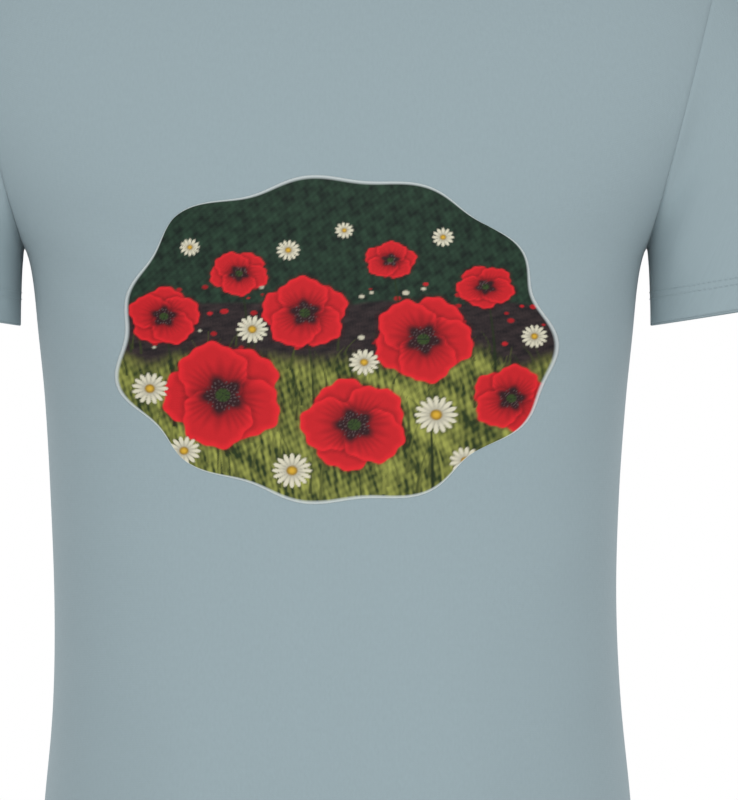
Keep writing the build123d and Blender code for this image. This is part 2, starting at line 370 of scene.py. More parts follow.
def sleeve_form(side, turn, share):
    """Points on a sleeve's form, from the armhole at 0 to the hem at 1, and straight out."""
    turn, share = np.asarray(turn, float), np.asarray(share, float)
    whole = np.broadcast_shapes(turn.shape, share.shape)
    share = np.broadcast_to(share, whole)
    slope = math.radians(sleeve_hem_slope)
    hem = (
        sleeve_hem_inner_x, sleeve_hem_drop,
        sleeve_hem_inner_x + sleeve_hem_width * math.cos(slope),
        sleeve_hem_drop - sleeve_hem_width * math.sin(slope),
        sleeve_hem_depth,
    )
    rings = [armhole_points(side, turn)]
    outs = [outwards(rings[0])[1]]
    for inner_x, inner_drop, outer_x, outer_drop, depth in SLEEVE_ROWS + [hem]:
        inner = np.array([side * inner_x, 0, -inner_drop])
        outer = np.array([side * outer_x, 0, -outer_drop])
        along = (inner - outer) / 2
        ring = (inner + outer) / 2 + along * squared(np.cos(turn))[..., None]
        ring = ring + np.array([0, depth, 0]) * squared(np.sin(turn))[..., None]
        rings.append(ring)
        size = np.linalg.norm(along)
        out = along / size**2 * bent(np.cos(turn), sleeve_roundness)[..., None]
        out = out + np.array([0, 1 / depth, 0]) * bent(np.sin(turn), sleeve_roundness)[..., None]
        outs.append(out / np.linalg.norm(out, axis=-1)[..., None])
    rings, outs = [[np.broadcast_to(one, (*whole, 3)) for one in kind] for kind in (rings, outs)]
    return through(rings, share), through(outs, share)


def through(rings, share):
    """Places between rings, on smooth curves through them."""
    count = len(rings) - 1
    stack = np.stack(rings)
    k = np.clip((share * count).astype(int), 0, count - 1)
    t = (share * count - k)[..., None]
    place = np.indices(k.shape)
    low, high = stack[(k, *place)], stack[(k + 1, *place)]
    before, after = stack[(np.maximum(k - 1, 0), *place)], stack[(np.minimum(k + 2, count), *place)]
    leave = (high - before) / np.where(k == 0, 1, 2)[..., None]
    arrive = (after - low) / np.where(k == count - 1, 1, 2)[..., None]
    value = (2 * t**3 - 3 * t**2 + 1) * low + (t**3 - 2 * t**2 + t) * leave
    return value + (3 * t**2 - 2 * t**3) * high + (t**3 - t**2) * arrive


def side_points(side, front, share):
    """A panel's side edge, from the hem at 0 up the side seam and the armhole to 1."""
    if share > 0.5:
        turn = math.pi * (share - 0.5) + math.acos(3 - 4 * share) / 2
        return armhole_points(side, np.array(-turn if front else turn))
    end = body_length - hem_fold
    return body_points(0 if side > 0 else np.pi, end + (underarm_drop - end) * 2 * share)


def panel_grid(front, sides=26, middle=56, low=110, high=64):
    """The front or the back from its hem, between its side seams, to its armholes and neck."""
    top = -armhole_points(1, np.array(np.pi))[2]
    fine = np.linspace(1, 0, 400)
    shoulder = evenly(body_points(0.0, top * fine**2), sides)
    other = shoulder[::-1] * [-1, 1, 1]
    neck = neck_line(0.0, -np.pi if front else np.pi, 0.0, middle)
    tops = np.concatenate([shoulder[:-1], neck, other[1:]])
    across = np.linspace(0, 1, len(tops))
    above = np.linspace(0, 1, high + 1)[1:] ** row_spacing
    up = np.concatenate([np.linspace(0, 0.5, low + 1), 0.5 + above / 2])
    hems = body_points(-np.pi * across if front else np.pi * across, body_length - hem_fold)
    rows = []
    for v in up:
        left, right = side_points(1, front, v), side_points(-1, front, v)
        s, rise = across[:, None], max(0.0, 2 * v - 1) ** 2
        low_corner = hems[0] * (1 - s) + hems[-1] * s
        high_corner = tops[0] * (1 - s) + tops[-1] * s
        points = hems * (1 - rise) + tops * rise + left * (1 - s) + right * s
        points = points - low_corner * (1 - rise) - high_corner * rise
        rows.append(points)
    grid = eased(np.stack(rows))
    grid[1:-1, 1:-1] = settled(grid[1:-1, 1:-1])
    return grid


def eased(grid):
    """A panel's grid with the change of slope level with the underarms taken out of its middle."""
    columns = np.arange(1, grid.shape[1] - 1)
    inside = np.minimum(1.0, np.minimum(columns, columns[::-1]) / eased_columns)[:, None]
    for _ in range(eased_rounds):
        middle = grid[1:-1, 1:-1]
        average = (grid[:-2, 1:-1] + grid[2:, 1:-1]) / 2
        near = np.exp(-((middle[..., 2:] + underarm_drop) / eased_reach) ** 2)
        grid[1:-1, 1:-1] = middle + (average - middle) * near * inside
    return grid


def refined(grid, ends=(0.12, 0.28, 0.5, 0.75)):
    """A grid with more rows and columns close to its edges, where seams draw the cloth in."""
    for axis in (0, 1):
        grid = np.swapaxes(grid, 0, axis)
        first = [grid[0] * (1 - t) + grid[1] * t for t in ends]
        last = [grid[-1] * (1 - t) + grid[-2] * t for t in reversed(ends)]
        grid = np.concatenate([grid[:1], first, grid[1:-1], last, grid[-1:]])
        grid = np.swapaxes(grid, 0, axis)
    return grid


def along_rows(grid):
    """Distance of each point along its row from the row's start."""
    steps = np.linalg.norm(np.diff(grid, axis=1), axis=2)
    return np.concatenate([np.zeros((len(grid), 1)), np.cumsum(steps, axis=1)], axis=1)


def along_columns(grid):
    """Distance of each point along its column from the column's start."""
    return along_rows(np.swapaxes(grid, 0, 1)).T


def drawn_in(distance):
    """How deep cloth is drawn in at a distance from a seam."""
    groove = seam_groove * np.exp(-(distance / 1.5) ** 2)
    return groove + seam_pull * np.exp(-(distance / 5) ** 2)


# Meshes

def grid_faces(rows, columns, closed_rows=False, closed_columns=False):
    """The quads of a grid of points, closed on itself where asked."""
    i, j = np.meshgrid(
        np.arange(rows if closed_columns else rows - 1),
        np.arange(columns if closed_rows else columns - 1),
        indexing="ij",
    )
    up, right = (i + 1) % rows, (j + 1) % columns
    corners = [i * columns + j, i * columns + right, up * columns + right, up * columns + j]
    return np.stack(corners, axis=-1).reshape(-1, 4)


def looks_out(points, faces, outs):
    """Whether faces look the way the points' outward directions do."""
    corner = points[faces]
    normal = np.cross(corner[:, 1] - corner[:, 0], corner[:, 3] - corner[:, 0])
    return np.einsum("ij,ij->", normal, outs[faces[:, 0]]) > 0


def facing_out(points, faces, outs):
    """Faces turned so that they look the way the points' outward directions do."""
    return faces if looks_out(points, faces, outs) else faces[:, ::-1]


def placed(name, data):
    """A new object in the scene."""
    obj = bpy.data.objects.new(name, data)
    bpy.context.scene.collection.objects.link(obj)
    return obj


def new_piece(name, points, faces, material, uv=None, ink=None, girth=None):
    """A piece from points in millimetres, which stands for the frame's node of its name.

    uv are places on the cloth in millimetres, and girth is how far it is round a closed ring.
    """
    mesh = bpy.data.meshes.new(name)
    mesh.from_pydata((np.asarray(points) * MM).tolist(), [], [list(face) for face in faces])
    if uv is not None:
        corners = np.zeros(len(mesh.loops), dtype=np.int32)
        mesh.loops.foreach_get("vertex_index", corners)
        places = np.asarray(uv, float)[corners]
        if girth:
            u = places[:, 0].reshape(-1, 4)
            closing = np.ptp(u, axis=1)[:, None] > girth / 2
            places[:, 0] = np.where(closing & (u < girth / 2), u + girth, u).ravel()
        mesh.uv_layers.new(name="cloth").data.foreach_set("uv", places.ravel())
    if ink is not None:
        colours = np.concatenate([ink, np.ones((len(ink), 1))], axis=1)
        layer = mesh.color_attributes.new("ink", "FLOAT_COLOR", "POINT")
        layer.data.foreach_set("color", colours.ravel())
    mesh.shade_smooth()
    mesh.materials.append(material)
    is_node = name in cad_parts
    obj = placed(f"{name}_visual" if is_node else name, mesh)
    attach(obj, "root")
    if is_node:
        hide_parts(name)
    return obj


def thicken(obj):
    """Gives an open piece the cloth's thickness, inwards."""
    solid = obj.modifiers.new("thickness", "SOLIDIFY")
    solid.thickness = cloth * MM
    solid.offset = -1
    return obj


def stitches(name, starts, ends, ups, material):
    """Short arched threads from starts to ends."""
    along = ends - starts
    aside = np.cross(along, ups)
    aside = aside / np.linalg.norm(aside, axis=1)[:, None]
    up = ups / np.linalg.norm(ups, axis=1)[:, None]
    sides = 6
    layers = []
    for t, width, height in STITCH_SECTIONS:
        middle = starts + along * t + up * height * stitch_thread
        for k in range(sides):
            angle = 2 * math.pi * k / sides
            reach = aside * math.cos(angle) + up * math.sin(angle)
            layers.append(middle + reach * width * stitch_thread / 2)
    points = np.stack(layers, axis=1)
    one = grid_faces(len(STITCH_SECTIONS), sides, closed_rows=True)
    shifts = np.arange(len(starts))[:, None, None] * len(layers)
    faces = (one[None] + shifts).reshape(-1, 4)
    return new_piece(name, points.reshape(-1, 3), faces, material)


def dashes(line):
    """Where the stitches of a seam start and end along a line of points."""
    count = int(length_of(line) / stitch_pitch)
    fine = evenly(line, count * 10)
    return fine[0:-1:10], fine[8::10]


# Materials

def shader(name, colour, roughness, sheen):
    """A plain fabric shader, its node tree and its main node."""
    material = bpy.data.materials.new(name)
    material.use_nodes = True
    tree = material.node_tree
    main = tree.nodes["Principled BSDF"]
    main.inputs["Base Color"].default_value = (*colour, 1)
    main.inputs["Roughness"].default_value = roughness
    main.inputs["Specular IOR Level"].default_value = 0.2
    main.inputs["Sheen Weight"].default_value = sheen
    main.inputs["Sheen Roughness"].default_value = 0.6
    return material, tree, main


def worked_out(tree, operation, one, two=None):
    """A node that works out one or two numbers or links."""
    node = tree.nodes.new("ShaderNodeMath")
    node.operation = operation
    for socket, value in zip(node.inputs, (one, two)):
        if isinstance(value, (int, float)):
            socket.default_value = value
        elif value is not None:
            tree.links.new(value, socket)
    return node.outputs[0]


def times(tree, one, two):
    """A node that multiplies."""
    return worked_out(tree, "MULTIPLY", one, two)


def plus(tree, one, two):
    """A node that adds."""
    return worked_out(tree, "ADD", one, two)


def weighed(tree, first, *others):
    """The sum of links, each times its weight."""
    total = times(tree, *first)
    for value, weight in others:
        total = plus(tree, total, times(tree, value, weight))
    return total


def noise(tree, place, scale, detail, stretch=(1, 1, 1)):
    """Noise over a place, coarser along the axes with less stretch."""
    mapping = tree.nodes.new("ShaderNodeMapping")
    mapping.inputs["Scale"].default_value = stretch
    tree.links.new(place, mapping.inputs["Vector"])
    node = tree.nodes.new("ShaderNodeTexNoise")
    node.inputs["Scale"].default_value = scale
    node.inputs["Detail"].default_value = detail
    tree.links.new(mapping.outputs[0], node.inputs["Vector"])
    return node.outputs["Fac"]


def knit(tree, place, wale, course):
    """The height of knitted loops: rows of small Vs along wales."""
    parts = tree.nodes.new("ShaderNodeSeparateXYZ")
    tree.links.new(place, parts.inputs[0])
    u = times(tree, parts.outputs[0], 1 / wale)
    v = times(tree, parts.outputs[1], 2 * math.pi / course)
    off_middle = worked_out(tree, "SUBTRACT", worked_out(tree, "FRACT", u), 0.5)
    across = worked_out(tree, "ABSOLUTE", off_middle)
    leg = worked_out(tree, "SINE", times(tree, across, 2 * math.pi))
    slant = worked_out(tree, "SINE", plus(tree, v, times(tree, across, 6.0)))
    return times(tree, leg, plus(tree, times(tree, slant, 0.3), 0.7))


def bump(tree, main, height, distance, strength):
    """Raises a surface by a height."""
    node = tree.nodes.new("ShaderNodeBump")
    node.inputs["Distance"].default_value = distance
    node.inputs["Strength"].default_value = strength
    tree.links.new(height, node.inputs["Height"])
    tree.links.new(node.outputs[0], main.inputs["Normal"])


def tinted(tree, main, colour, amount, spread):
    """Lightens and darkens a colour a little by a number from 0 to 1."""
    mix = tree.nodes.new("ShaderNodeMix")
    mix.data_type = "RGBA"
    mix.inputs["A"].default_value = (*(c * (1 - spread) for c in colour), 1)
    mix.inputs["B"].default_value = (*(c * (1 + spread) for c in colour), 1)
    tree.links.new(amount, mix.inputs["Factor"])
    tree.links.new(mix.outputs["Result"], main.inputs["Base Color"])


def uv_place(tree):
    """Places on the cloth in millimetres."""
    node = tree.nodes.new("ShaderNodeUVMap")
    node.uv_map = "cloth"
    return node.outputs[0]


def rib_material(name, colour, pitch):
    """Rib knit, with painted shade between its ribs."""
    material, tree, main = shader(name, colour, 0.88, 0.12)
    place = uv_place(tree)
    parts = tree.nodes.new("ShaderNodeSeparateXYZ")
    tree.links.new(place, parts.inputs[0])
    wave = worked_out(tree, "COSINE", times(tree, parts.outputs[0], 2 * math.pi / pitch))
    rib = plus(tree, times(tree, wave, 0.5), 0.5)
    loops = knit(tree, place, pitch / 2, 1.2)
    bump(tree, main, weighed(tree, (rib, 1.0), (loops, 0.4)), 0.0004, 0.6)
    # Painted shade: the colour is darker in the grooves between the ribs and, a little, between the
    # loops.
    tinted(tree, main, colour, weighed(tree, (rib, 0.8), (loops, 0.2)), 0.16)
    return material


def cloth_material(name, colour, wale, course, spread=0.07):
    """Knitted cotton with small loops, a faint uneven yarn and a soft nap; its colour has the
    yarn's uneven tone and painted shade between the loops.
    """
    material, tree, main = shader(name, colour, 0.88, 0.12)
    place = uv_place(tree)
    loops = knit(tree, place, wale, course)
    yarn = noise(tree, place, 0.62, 2.0, (1.0, 0.45, 1.0))
    fuzz = noise(tree, place, 2.2, 1.0)
    bump(tree, main, weighed(tree, (loops, 0.5), (yarn, 0.5), (fuzz, 0.3)), 0.00022, 0.5)
    # Colour: the yarn's uneven tone, and painted shade in the low parts of the knitted loops.
    tinted(tree, main, colour, weighed(tree, (yarn, 0.7), (loops, 0.3)), spread)
    return material


def ink_material():
    """Soft ink that the knit shows through, in the colours of the print."""
    material, tree, main = shader("print_ink", (0.2, 0.1, 0.05), 0.62, 0.0)
    colours = tree.nodes.new("ShaderNodeVertexColor")
    colours.layer_name = "ink"
    tree.links.new(colours.outputs["Color"], main.inputs["Base Color"])
    place = uv_place(tree)
    height = plus(tree, knit(tree, place, 1.5, 1.1), noise(tree, place, 1.4, 2.0))
    bump(tree, main, height, 0.00016, 0.4)
    return material


# The print: poppies and daisies in a meadow before a hedge, in millimetres from its centre

RED = np.array([0.58, 0.012, 0.018])
DEEP_RED = np.array([0.10, 0.002, 0.005])
CREAM = np.array([0.72, 0.68, 0.52])
YELLOW = np.array([0.62, 0.36, 0.03])
BLACK = np.array([0.008, 0.007, 0.009])
HEDGE_DARK = np.array([0.005, 0.013, 0.009])
HEDGE_LIGHT = np.array([0.024, 0.060, 0.034])
EARTH_DARK = np.array([0.010, 0.007, 0.009])
EARTH_LIGHT = np.array([0.045, 0.030, 0.030])
GRASS_DARK = np.array([0.018, 0.034, 0.007])
GRASS_LIGHT = np.array([0.36, 0.38, 0.08])
PALE = np.array([0.60, 0.66, 0.66])
MOTTLE_TURN = 6.28

# Poppies: across, up, radius, squash, turn
POPPIES = [
    (-58.0, 40.0, 17.0, 0.75, 0.9),
    (34.0, 48.0, 15.0, 0.70, 0.2),
    (92.0, 32.0, 17.0, 0.72, 2.1),
    (-104.0, 14.0, 21.0, 0.80, 1.5),
    (-18.0, 16.0, 25.0, 0.82, 0.4),
    (54.0, 0.0, 29.0, 0.86, 1.1),
    (-68.0, -34.0, 35.0, 0.88, 0.7),
    (108.0, -36.0, 23.0, 0.84, 0.1),
    (12.0, -52.0, 31.0, 0.86, 1.9),
]
# Daisies: across, up, radius, number of petals
DAISIES = [
    (-88.0, 56.0, 6.0, 12),
    (66.0, 62.0, 6.5, 12),
    (-28.0, 54.0, 7.0, 13),
    (6.0, 66.0, 5.5, 11),
    (122.0, 2.0, 8.0, 14),
    (-50.0, 6.0, 9.5, 14),
    (18.0, -14.0, 9.0, 13),
    (-113.0, -30.0, 11.0, 15),
    (-26.0, -80.0, 12.0, 16),
    (62.0, -46.0, 13.0, 16),
    (-92.0, -68.0, 10.0, 14),
    (80.0, -74.0, 9.5, 13),
]


def mottle(x, z, size, seed):
    """Uneven patches of about a size, from -1 to 1."""
    dice = random.Random(seed)
    total = 0.0
    for _ in range(9):
        angle, phase = dice.uniform(0, math.pi), dice.uniform(0, MOTTLE_TURN)
        waves = MOTTLE_TURN * dice.uniform(0.5, 2.0) / size
        total = total + np.sin((x * math.cos(angle) + z * math.sin(angle)) * waves + phase)
    return total / 4.5


def inside_by(distance, softness=0.45):
    """1 inside a shape and 0 outside it, by the distance outside its edge."""
    return np.clip(0.5 - distance / 2 / softness, 0, 1)


def paint(ink, colour, cover):
    """Lays a colour over the ink where it covers."""
    return ink + (colour - ink) * cover[:, None]


def blend(one, two, share):
    """A colour between two, by a share at each point."""
    return one + (two - one) * np.clip(share, 0, 1)[:, None]


def blade(ink, x, z, foot, height, lean, width, colour):
    """A leaning blade of grass or a stem that thins towards its tip."""
    t = np.clip((z - foot[1]) / height, 0, 1)
    middle = foot[0] + lean * t * t
    between_ends = (z > foot[1]) * (z < foot[1] + height)
    cover = inside_by(np.abs(x - middle) - width * (1.05 - t)) * between_ends
    return paint(ink, colour * (0.75 + 0.25 * t)[:, None], cover)


def poppy(ink, x, z, centre, radius, squash, turn):
    """An open poppy with five overlapping petals and a dark heart."""
    dx, dz = x - centre[0], (z - centre[1]) / squash
    reach = np.hypot(dx, dz) / radius
    bearing = np.arctan2(dz, dx)
    for k in range(5):
        angle = turn + 2 * math.pi * k * 2 / 5
        px, pz = dx - math.cos(angle) * 0.46 * radius, dz - math.sin(angle) * 0.46 * radius
        around = np.arctan2(pz, px)
        wavy = 1 + 0.05 * np.sin(5 * around + 2 * k) + 0.03 * np.sin(11 * around + k)
        beyond = np.hypot(px, pz) - 0.60 * radius * wavy
        pleats = 0.12 * np.sin(bearing * 26 + 3 * np.sin(bearing * 4 + k))
        redness = 0.12 + smooth(reach, 0.05, 0.9) + pleats * smooth(reach, 0.2, 0.6)
        colour = blend(DEEP_RED, RED, redness)
        colour = colour * (1 + 0.35 * smooth(beyond, -0.16 * radius, 0.0))[:, None]
        ink = paint(ink, DEEP_RED * 0.6, 0.55 * inside_by(beyond - 1.0, 0.07 * radius + 0.4))
        ink = paint(ink, colour, inside_by(beyond))
    blotch = reach - 0.34 - 0.07 * np.cos(5 * (bearing - turn))
    ink = paint(ink, BLACK, 0.9 * inside_by(blotch * radius, 0.08 * radius))
    stamens = np.sin(bearing * 20) * np.sin(reach * 40 + bearing * 3)
    ring = inside_by((reach - 0.30) * radius)
    heart = inside_by((reach - 0.13) * radius)
    ink = paint(ink, EARTH_LIGHT * 2.2, smooth(stamens, 0.3, 0.8) * ring)
    ink = paint(ink, GRASS_DARK * 1.8, heart)
    return paint(ink, BLACK, 0.7 * smooth(np.cos(bearing * 8), 0.5, 1) * heart)


def daisy(ink, x, z, centre, radius, petals):
    """A daisy with narrow cream petals round a yellow heart."""
    dx, dz = x - centre[0], (z - centre[1]) / 0.86
    reach = np.hypot(dx, dz)
    wave = np.abs(np.cos(np.arctan2(dz, dx) * petals / 2))
    rim = radius * (0.60 + 0.42 * wave**0.7)
    ink = paint(ink, BLACK, 0.45 * inside_by(reach - rim - 0.8, 1.2))
    shade = 0.62 + 0.38 * smooth(wave, 0.15, 0.8) * smooth(reach / radius, 0.2, 0.7)
    ink = paint(ink, CREAM * shade[:, None], inside_by(reach - rim))
    heart = YELLOW * (1.15 - 0.7 * smooth(reach / radius, 0.05, 0.3))[:, None]
    return paint(ink, heart, inside_by(reach - 0.29 * radius))


def print_colours(x, z, edge):
    """The print's colours at places on it, with its pale rim by their nearness to its edge."""
    dice = random.Random(11)
    leafy = mottle(x, z, 5, 1) * 0.6 + mottle(x, z, 13, 2) * 0.5
    ink = blend(HEDGE_DARK, HEDGE_LIGHT, 0.42 + 0.5 * leafy)
    field = 22 + 2.5 * mottle(x, z * 0, 90, 3)
    stripes = 0.4 + 0.3 * mottle(x * 0.25, z, 5, 4) + 0.25 * mottle(x, z, 3.5, 5)
    ink = paint(ink, blend(EARTH_DARK, EARTH_LIGHT, stripes), smooth(field - z, -1.5, 1.5))
    meadow = -12 + 5 * mottle(x, z * 0, 60, 6)
    sunlit = 0.38 + 0.42 * mottle(x, z * 0.4, 4, 7) + 0.34 * mottle(x, z, 26, 8)
    ink = paint(ink, blend(GRASS_DARK, GRASS_LIGHT, sunlit), smooth(meadow - z, -7, 7))
    for _ in range(130):
        foot = dice.uniform(-135, 135), dice.uniform(-100, -4)
        near = (10 - foot[1]) / 110
        colour = GRASS_DARK + (GRASS_LIGHT - GRASS_DARK) * dice.uniform(0, 0.9) * near
        height, lean = dice.uniform(10, 30) * (0.4 + near), dice.uniform(-9, 9)
        ink = blade(ink, x, z, foot, height, lean, 0.5 + 0.6 * near, colour)
    for _ in range(70):
        place = dice.uniform(-130, 130), dice.uniform(-6, 34)
        size = dice.uniform(0.8, 2.4)
        colour = RED * dice.uniform(0.5, 1.0) if dice.random() < 0.72 else CREAM * 0.8
        ink = paint(ink, colour, inside_by(np.hypot(x - place[0], (z - place[1]) * 1.5) - size))
    for across, up, radius, squash, turn in POPPIES:
        stem = 3.2 * radius
        ink = blade(ink, x, z, (across + 6, up - stem), stem, -6, 1.0, GRASS_DARK * 0.9)
        ink = poppy(ink, x, z, (across, up), radius, squash, turn)
    for across, up, radius, petals in DAISIES:
        ink = daisy(ink, x, z, (across, up), radius, petals)
    return paint(ink, PALE, smooth(-edge, -2.6, -0.9) * 0.9)


def print_piece(material):
    """The print as a thin film on the chest, with its wavy outline."""
    a, b = np.meshgrid(np.linspace(-1, 1, print_columns), np.linspace(-1, 1, print_rows))
    height = np.pad(np.full(a.shape, ply_gap), 1, constant_values=film_rim)
    a, b = np.pad(a, 1, "edge"), np.pad(b, 1, "edge")
    across, up = a * np.sqrt(1 - b * b / 2), b * np.sqrt(1 - a * a / 2)
    angle = np.arctan2(up, across)
    waves = 0.026 * np.cos(11 * angle) + 0.018 * np.cos(5 * angle + 1.0)
    waves = waves + 0.012 * np.cos(7 * angle + 2.0)
    swell = 1 + waves * smooth(np.hypot(across, up), 0.0, 1.0)
    x, z = print_half_width * across * swell, print_half_height * up * swell
    drop = print_drop - z
    points = body_points(turn_at(x, drop, True), drop)
    outs = outwards(points)[1]
    edge = (1 - np.maximum(np.abs(a), np.abs(b))) * print_half_height
    ink = print_colours(x.ravel(), z.ravel(), edge.ravel())
    flat = dressed(points, outs, height[..., None]).reshape(-1, 3)
    faces = facing_out(flat, grid_faces(*x.shape), outs.reshape(-1, 3))
    uv = np.stack([x.ravel(), z.ravel()], axis=1)
    return new_piece("chest_print", flat, faces, material, uv, ink)


# Pieces

def panel_piece(front, material):
    """The front or the back, drawn in a little along its seams."""
    name = "front_panel" if front else "back_panel"
    grid = refined(panel_grid(front))
    rows, columns = along_rows(grid), along_columns(grid)
    from_seam = np.minimum(np.minimum(rows, rows[:, -1:] - rows), columns[-1:] - columns)
    outs = outwards(grid)[1]
    points = dressed(grid, outs, -drawn_in(from_seam)[..., None]).reshape(-1, 3)
    faces = facing_out(points, grid_faces(*grid.shape[:2]), outs.reshape(-1, 3))
    middle = grid.shape[1] // 2
    uv = np.stack([rows - rows[:, middle:middle + 1], columns], axis=-1).reshape(-1, 2)
    return thicken(new_piece(name, points, faces, material, uv))


def fold_path(depth, rows):
    """The hem's turn in section: offset and rise of its middle line, up the inside and round."""
    inner, outer = -cloth - ply_gap - cloth / 2, -cloth / 2
    middle, radius = (inner + outer) / 2, (outer - inner) / 2
    path = [(inner, rise) for rise in np.linspace(depth, hem_fold, rows)]
    for angle in np.linspace(0, math.pi, 7)[1:]:
        path.append((middle - radius * math.cos(angle), hem_fold * (1 - math.sin(angle))))
    return np.array(path)


def around_path(path, thickness):
    """A closed outline at half a thickness from both sides of a path."""
    along = np.gradient(path, axis=0)
    aside = np.stack([-along[:, 1], along[:, 0]], axis=1)
    aside = aside / np.linalg.norm(aside, axis=1)[:, None] * thickness / 2
    return np.concatenate([path + aside, (path - aside)[::-1]])


def ring_piece(name, grid, first_outs, material, step=None):
    """A closed ring from a grid of lines round it, and the directions that the first one faces."""
    rows, columns = grid.shape[:2]
    steps = along_rows(grid) if step is None else along_rows(grid) * 0 + step * np.arange(columns)
    uv = np.stack([steps, along_columns(grid)], axis=-1).reshape(-1, 2)
    girth = steps[:, -1].mean() * columns / (columns - 1)
    faces = grid_faces(rows, columns, closed_rows=True, closed_columns=True)
    points = grid.reshape(-1, 3)
    if not looks_out(points, faces[:columns], first_outs):
        faces = faces[:, ::-1]
    return new_piece(name, points, faces, material, uv, girth=girth)


def hem_piece(material):
    """The bottom hem's turned-up ply, with its rounded fold."""
    turn = np.linspace(0, 2 * np.pi, 361)[:-1]
    grid = []
    for offset, rise in around_path(fold_path(hem_depth, 8), cloth):
        points = body_points(turn, body_length - rise)
        grid.append(dressed(points, outwards(points)[1], offset))
    inwards = -outwards(body_points(turn, body_length))[1]
    return ring_piece("hem_turn", np.stack(grid), inwards, material)


def sleeve_shares(side, turn, rise):
    """The share of a sleeve's length at which a point of the ring is this far above the hem."""
    shares = np.linspace(1, 0, 61)
    lines = sleeve_form(side, turn[None, :], shares[:, None])[0]
    lengths = along_columns(lines)
    found = [np.interp(abs(rise), lengths[:, k], shares) for k in range(len(turn))]
    return np.array(found) if rise >= 0 else 2 - np.array(found)


def sleeve_line(side, turn, rise, offset):
    """A line round a sleeve at a rise above its hem, and the directions straight out."""
    points, outs = sleeve_form(side, turn, sleeve_shares(side, turn, rise))
    return dressed(points, outs, offset), outs


def sleeve_piece(side, name, material):
    """A sleeve, drawn in along the armhole and the underarm seam."""
    close = np.array([0, 0.012, 0.03, 0.055, 0.09])
    apart = np.linspace(0.13, 2 * np.pi - 0.13, 150)
    turn = np.concatenate([close, apart, 2 * np.pi - close[:0:-1]])
    along = np.concatenate([[0, 0.004, 0.01, 0.018, 0.03], np.linspace(0.045, 1, 60)])
    share = along[:, None] * sleeve_shares(side, turn, hem_fold)[None, :]
    grid, outs = sleeve_form(side, turn[None, :], share)
    rows, columns = along_rows(grid), along_columns(grid)
    whole = rows[:, -1:] + np.linalg.norm(grid[:, -1] - grid[:, 0], axis=1)[:, None]
    from_seam = np.minimum(np.minimum(rows, whole - rows), columns)
    points = dressed(grid, outs, -drawn_in(from_seam)[..., None]).reshape(-1, 3)
    faces = grid_faces(*grid.shape[:2], closed_rows=True)
    faces = facing_out(points, faces, outs.reshape(-1, 3))
    uv = np.stack([rows, -columns], axis=-1).reshape(-1, 2)
    return thicken(new_piece(f"{name}_sleeve", points, faces, material, uv))


def sleeve_hem_piece(side, name, material):
    """A sleeve hem's turned-up ply, with its rounded fold."""
    turn = np.linspace(0, 2 * np.pi, 181)[:-1]
    outline = around_path(fold_path(hem_depth, 8), cloth)
    lines = [sleeve_line(side, turn, rise, offset) for offset, rise in outline]
    grid = np.stack([line for line, outs in lines])
    return ring_piece(f"{name}_sleeve_hem_turn", grid, -lines[0][1], material)


def collar_piece(material):
    """The rib collar: two plies of ribs, folded over at the free edge."""
    per_rib = 4
    middle = neck_points(np.linspace(0, 2 * np.pi, 2000), 0.5)
    halves = middle[:1000], middle[1000:]
    counts = [per_rib * round(length_of(half) / rib_pitch) for half in halves]
    shares = np.linspace(0, 1, 12)
    section = [(share, rib_proud, 1.0) for share in shares]
    section += [(1.02, rib_proud - 0.4, 0.7), (1.035, rib_proud - rib_cloth / 2, 0.4)]
    section += [(1.02, rib_proud - rib_cloth + 0.4, -0.7)]
    section += [(share, rib_proud - rib_cloth, -1.0) for share in shares[::-1]]
    grid, outs = [], []
    for share, offset, ridge in section:
        back = neck_line(0.0, np.pi, share, counts[0])
        front = neck_line(np.pi, 2 * np.pi, share, counts[1])
        points = np.concatenate([back, front[1:-1]])
        out = outwards(points)[1]
        ribs = rib_height * np.cos(2 * np.pi * np.arange(len(points)) / per_rib) * ridge
        edge = 0.5 * math.exp(-(share * collar_width / 1.2) ** 2) * ridge
        grid.append(dressed(points, out, (offset + ribs - edge)[:, None]))
        outs.append(out)
    step = rib_pitch / per_rib
    return ring_piece("collar_rib", np.stack(grid), outs[0], material, step)


def strip_piece(name, grid, outs, offsets, material, closed=False, ridged=False):
    """A closed strip between two offsets, with overlocked ridges across its inner side if asked."""
    along = along_rows(grid)
    slant = 1.2 * np.arange(len(grid))[:, None]
    ridges = overlock_ridge * ridged * np.sin(2 * np.pi * along / overlock_pitch + slant)
    upper = dressed(grid, outs, offsets[0])
    lower = dressed(grid, outs, (offsets[1] - ridges)[..., None])
    points = np.concatenate([upper, lower[::-1]])
    faces = grid_faces(*points.shape[:2], closed_rows=closed, closed_columns=True)
    flat = points.reshape(-1, 3)
    both = np.concatenate([outs, -outs[::-1]]).reshape(-1, 3)
    faces = facing_out(flat, faces, both)
    if not closed:
        rows, columns = points.shape[:2]
        ends = [[i * columns + k for i in range(rows)] for k in (0, columns - 1)]
        faces = faces.tolist() + [ends[0], ends[1][::-1]]
    sides = [np.stack([along, along * 0 + k * 50], axis=-1) for k in range(2)]
    uv = np.concatenate(sides).reshape(-1, 2)
    return new_piece(name, flat, faces, material, uv)


